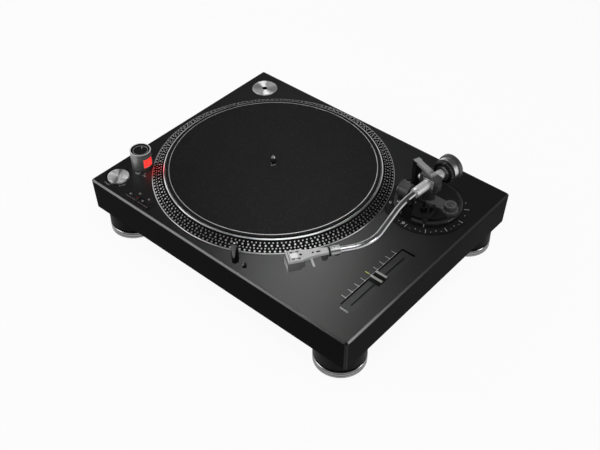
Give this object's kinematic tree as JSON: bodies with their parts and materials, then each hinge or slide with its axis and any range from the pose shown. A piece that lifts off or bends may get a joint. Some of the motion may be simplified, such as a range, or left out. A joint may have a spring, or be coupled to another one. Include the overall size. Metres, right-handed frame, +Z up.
{
  "type": "dj turntable",
  "caption": "Direct-drive turntable with strobe-dot platter, slipmat, S-shaped tonearm on a height-adjustable base, tempo fader, start button, strobe pillar and pop-up lamp.",
  "frame": {"origin": "on the floor, under the middle of the cabinet", "axes": "+X to the right along the cabinet's width, +Y to the back, +Z up"},
  "size_m": [0.45, 0.35, 0.1445],
  "materials": {
    "cabinet_black": "satin black paint",
    "base_black": "moulded matt black",
    "black_plastic": "matt black",
    "grey_plastic": "satin dark grey",
    "pillar_grey": "bead-blasted grey",
    "satin_silver": "satin",
    "polished": "polished",
    "steel": "turned",
    "platter_alu": "turned rim with strobe dots",
    "felt": "felt",
    "rubber": "matt",
    "red_lens": "clear red",
    "brass": "plated",
    "magnet": "sintered",
    "board": "circuit board",
    "coil": "enamelled wire",
    "pan_steel": "pressed sheet",
    "pad_plastic": "plain",
    "arm_alu": "polished"
  },
  "bodies": {
    "chassis": {"top_cabinet": "cabinet_black", "bottom_base": "base_black", "chassis_screws": "steel", "terminal_panel": "black_plastic", "rca_jacks": "brass", "ac_inlet": "black_plastic", "ground_post": "steel", "motor_pan": "pan_steel", "bearing_housing": "brass", "thrust_pad": "pad_plastic", "motor_stator": "coil", "main_board": "board", "power_transformer": "magnet", "strobe_pillar": "pillar_grey", "strobe_lens": "red_lens", "control_board": "board", "fader_plate": "black_plastic", "fader_body": "grey_plastic", "lamp_sleeve": "black_plastic", "arm_mount": "black_plastic"},
    "turning_platter": {"spindle": "polished", "platter": "platter_alu", "rotor_magnet": "magnet"},
    "mat": {"slipmat": "felt"},
    "earth_nut": {"ground_nut": "satin_silver"},
    "power_switch": {"power_dial": "pillar_grey"},
    "start_button": {"start_stop_button": "satin_silver"},
    "button_33": {"speed_button_33": "black_plastic"},
    "button_45": {"speed_button_45": "black_plastic"},
    "tempo_knob": {"fader_knob": "grey_plastic"},
    "lamp": {"stylus_lamp": "black_plastic"},
    "lamp_release": {"lamp_button": "black_plastic"},
    "adapter": {"adapter_45": "satin_silver"},
    "ring": {"height_ring": "black_plastic"},
    "arm_carrier": {"arm_base": "black_plastic", "bearing_bracket": "satin_silver", "top_bearing_screw": "steel", "arm_rest": "black_plastic"},
    "height_lock": {"height_lock_knob": "grey_plastic"},
    "anti_skate": {"anti_skate_knob": "grey_plastic"},
    "cue": {"cue_lever": "black_plastic"},
    "lifter": {"lift_bar": "grey_plastic"},
    "clip": {"arm_clip": "grey_plastic"},
    "yoke": {"gimbal_yoke": "grey_plastic"},
    "tonearm": {"arm_sleeve": "satin_silver", "arm_tube": "arm_alu", "headshell": "satin_silver", "finger_lift": "satin_silver", "cartridge": "black_plastic", "stylus": "grey_plastic", "rear_shaft": "polished"},
    "collar": {"lock_collar": "satin_silver"},
    "bush": {"weight_bush": "black_plastic"},
    "weight": {"counterweight": "polished"},
    "dial": {"force_dial": "black_plastic"},
    "foot_front_left": {"front_left_foot": "rubber"},
    "foot_front_right": {"front_right_foot": "rubber"},
    "foot_rear_left": {"rear_left_foot": "rubber"},
    "foot_rear_right": {"rear_right_foot": "rubber"}
  },
  "joints": [
    {"name": "platter_spin", "type": "hinge", "parent": "chassis", "child": "turning_platter", "pos_m": [-0.0465, 0.001, 0.0915], "axis": [0, 0, -1], "continuous": true},
    {"name": "slipmat_slip", "type": "hinge", "parent": "turning_platter", "child": "mat", "pos_m": [-0.0465, 0.001, 0.0975], "axis": [0, 0, -1], "continuous": true},
    {"name": "start_press", "type": "slide", "parent": "chassis", "child": "start_button", "axis": [0, 0, -1], "range_m": [0, 0.0012], "stiffness_N_per_m": 1500},
    {"name": "speed_33_press", "type": "slide", "parent": "chassis", "child": "button_33", "axis": [0, 0, -1], "range_m": [0, 0.0012], "stiffness_N_per_m": 1200},
    {"name": "speed_45_press", "type": "slide", "parent": "chassis", "child": "button_45", "axis": [0, 0, -1], "range_m": [0, 0.0012], "stiffness_N_per_m": 1200},
    {"name": "power_turn", "type": "hinge", "parent": "chassis", "child": "power_switch", "pos_m": [-0.194, -0.108, 0.1085], "axis": [0, 0, -1], "range_deg": [0, 60]},
    {"name": "tempo_slide", "type": "slide", "parent": "chassis", "child": "tempo_knob", "axis": [0, 1, 0], "range_m": [-0.05, 0.05]},
    {"name": "lamp_push", "type": "slide", "parent": "chassis", "child": "lamp", "axis": [0, 0, -1], "range_m": [0, 0.024]},
    {"name": "lamp_button_press", "type": "slide", "parent": "chassis", "child": "lamp_release", "axis": [0, 0, -1], "range_m": [0, 0.0015], "stiffness_N_per_m": 800},
    {"name": "adapter_lift", "type": "slide", "parent": "chassis", "child": "adapter", "axis": [0, 0, 1], "range_m": [0, 0.03]},
    {"name": "earth_nut_turn", "type": "hinge", "parent": "chassis", "child": "earth_nut", "pos_m": [-0.008, 0.164, 0.057], "axis": [0, 1, 0], "range_deg": [0, 720]},
    {"name": "arm_height", "type": "slide", "parent": "chassis", "child": "arm_carrier", "axis": [0, 0, 1], "range_m": [0, 0.006]},
    {"name": "height_ring_turn", "type": "hinge", "parent": "chassis", "child": "ring", "pos_m": [0.1558, 0.0815, 0.0895], "axis": [0, 0, 1], "range_deg": [0, 240]},
    {"name": "height_lock_turn", "type": "hinge", "parent": "arm_carrier", "child": "height_lock", "pos_m": [0.1298, 0.066, 0.1082], "axis": [-1, 0, 0], "range_deg": [0, 90]},
    {"name": "anti_skate_turn", "type": "hinge", "parent": "arm_carrier", "child": "anti_skate", "pos_m": [0.19, 0.081, 0.1035], "axis": [0, 0, -1], "range_deg": [0, 270]},
    {"name": "cue_turn", "type": "hinge", "parent": "arm_carrier", "child": "cue", "pos_m": [0.1758, 0.0615, 0.105], "axis": [-1, 0, 0], "range_deg": [0, 50]},
    {"name": "cue_lift", "type": "slide", "parent": "arm_carrier", "child": "lifter", "axis": [0, 0, 1], "range_m": [0, 0.005]},
    {"name": "clip_open", "type": "hinge", "parent": "arm_carrier", "child": "clip", "pos_m": [0.16257, 0.035, 0.1135], "axis": [0.061, 0.9981, 0], "range_deg": [0, 50]},
    {"name": "arm_swing", "type": "hinge", "parent": "arm_carrier", "child": "yoke", "pos_m": [0.1558, 0.0815, 0.1265], "axis": [0, 0, -1], "range_deg": [0, 43]},
    {"name": "arm_tilt", "type": "hinge", "parent": "yoke", "child": "tonearm", "pos_m": [0.1558, 0.0815, 0.1265], "axis": [-0.9981, 0.061, 0], "range_deg": [-1.8, 12]},
    {"name": "collar_turn", "type": "hinge", "parent": "tonearm", "child": "collar", "pos_m": [0.14341, -0.0988, 0.1265], "axis": [-0.5736, -0.8192, 0], "range_deg": [0, 45]},
    {"name": "weight_travel", "type": "slide", "parent": "tonearm", "child": "bush", "axis": [0.061, 0.9981, 0], "range_m": [-0.0025, 0.0055]},
    {"name": "weight_turn", "type": "hinge", "parent": "bush", "child": "weight", "pos_m": [0.15812, 0.11943, 0.1265], "axis": [0.061, 0.9981, 0], "range_deg": [-450, 990]},
    {"name": "force_dial_turn", "type": "hinge", "parent": "weight", "child": "dial", "pos_m": [0.15745, 0.10845, 0.1265], "axis": [0.061, 0.9981, 0], "continuous": true},
    {"name": "foot_level_front_left", "type": "slide", "parent": "chassis", "child": "foot_front_left", "axis": [0, 0, -1], "range_m": [0, 0.006]},
    {"name": "foot_level_front_right", "type": "slide", "parent": "chassis", "child": "foot_front_right", "axis": [0, 0, -1], "range_m": [0, 0.006]},
    {"name": "foot_level_rear_left", "type": "slide", "parent": "chassis", "child": "foot_rear_left", "axis": [0, 0, -1], "range_m": [0, 0.006]},
    {"name": "foot_level_rear_right", "type": "slide", "parent": "chassis", "child": "foot_rear_right", "axis": [0, 0, -1], "range_m": [0, 0.006]}
  ],
  "couplings": [
    {"joint": "height_ring_turn", "follows": "arm_height", "rad_per_m": 698.13},
    {"joint": "cue_lift", "follows": "cue_turn", "m_per_rad": 0.0057296},
    {"joint": "weight_travel", "follows": "weight_turn", "m_per_rad": 0.00031831}
  ]
}
